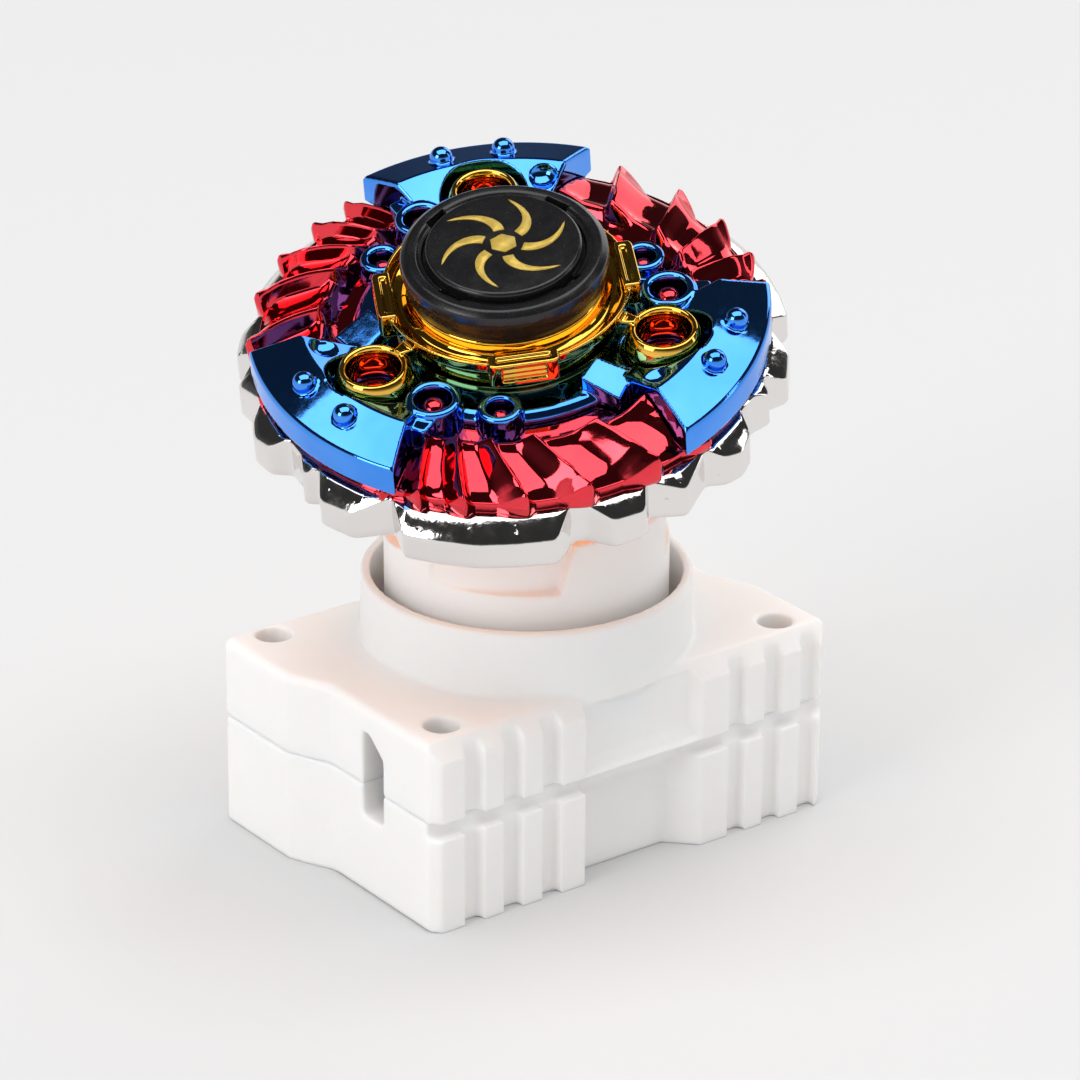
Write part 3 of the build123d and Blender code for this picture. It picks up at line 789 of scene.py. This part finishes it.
def make_world():
    """White paper sweep round the horizon, and a dark studio above it in reflections."""
    world = bpy.data.worlds.new("studio")
    bpy.context.scene.world = world
    world.use_nodes = True
    nodes, links = world.node_tree.nodes, world.node_tree.links
    sweep = nodes["Background"]
    place = nodes.new("ShaderNodeTexCoord")
    split = nodes.new("ShaderNodeSeparateXYZ")
    links.new(place.outputs["Generated"], split.inputs[0])
    fade = nodes.new("ShaderNodeValToRGB")
    links.new(split.outputs["Z"], fade.inputs["Fac"])
    stops = ((0.0, 0.88), (0.15, 0.80), (0.28, 0.10), (0.45, 0.03))
    while len(fade.color_ramp.elements) < len(stops):
        fade.color_ramp.elements.new(0.5)
    for element, (spot, grey) in zip(fade.color_ramp.elements, stops):
        element.position = spot
        element.color = (grey, grey, grey, 1)
    links.new(fade.outputs["Color"], sweep.inputs["Color"])
    soft = nodes.new("ShaderNodeBackground")
    soft.inputs["Color"].default_value = (0.60, 0.595, 0.59, 1)
    paper = nodes.new("ShaderNodeBackground")
    paper.inputs["Color"].default_value = (0.86, 0.86, 0.86, 1)
    path = nodes.new("ShaderNodeLightPath")
    gloss = nodes.new("ShaderNodeMixShader")
    links.new(path.outputs["Is Glossy Ray"], gloss.inputs["Fac"])
    links.new(soft.outputs[0], gloss.inputs[1])
    links.new(sweep.outputs[0], gloss.inputs[2])
    seen = nodes.new("ShaderNodeMixShader")
    links.new(path.outputs["Is Camera Ray"], seen.inputs["Fac"])
    links.new(gloss.outputs[0], seen.inputs[1])
    links.new(paper.outputs[0], seen.inputs[2])
    links.new(seen.outputs[0], nodes["World Output"].inputs["Surface"])


def make_camera():
    """The photograph's view: from the front left, a little above."""
    heading, rise, roll = radians(-37.03), radians(23.72), radians(0.47)
    distance, to_right, to_top = 0.5004, 0.001321, 0.008973
    back = Vector((sin(heading) * cos(rise), -cos(heading) * cos(rise), sin(rise)))
    right = Vector((0, 0, 1)).cross(back).normalized()
    up = back.cross(right)
    spot = Vector((0, 0, 0.020)) + to_right * right + to_top * up + distance * back
    right, up = cos(roll) * right + sin(roll) * up, cos(roll) * up - sin(roll) * right
    data = bpy.data.cameras.new("camera")
    data.lens = 166.8
    data.sensor_width = 36
    data.clip_start = 0.01
    obj = add_object("camera", data)
    obj.matrix_world = Matrix.Translation(spot) @ Matrix((right, up, back)).transposed().to_4x4()
    bpy.context.scene.camera = obj


make_floor()
make_world()
make_camera()
middle = (0, 0, 0.04)
area_light("softbox_left", (-2.2, -0.264, 1.052), middle, 1.1, 1.1, 16.0)
overhead = area_light("softbox_top", (-0.10, -0.22, 2.262), (-0.10, -0.22, 0), 3.08, 1.9, 43.0)
overhead.rotation_euler = (0, 0, radians(65.5 - 90))
area_light("strip_right", (1.76, -1.21, 0.942), middle, 0.264, 1.54, 2.4)
area_light("softbox_back", (1.90, 0.78, 1.05), middle, 1.3, 1.3, 8.5)
bpy.context.scene.view_settings.view_transform = "Standard"
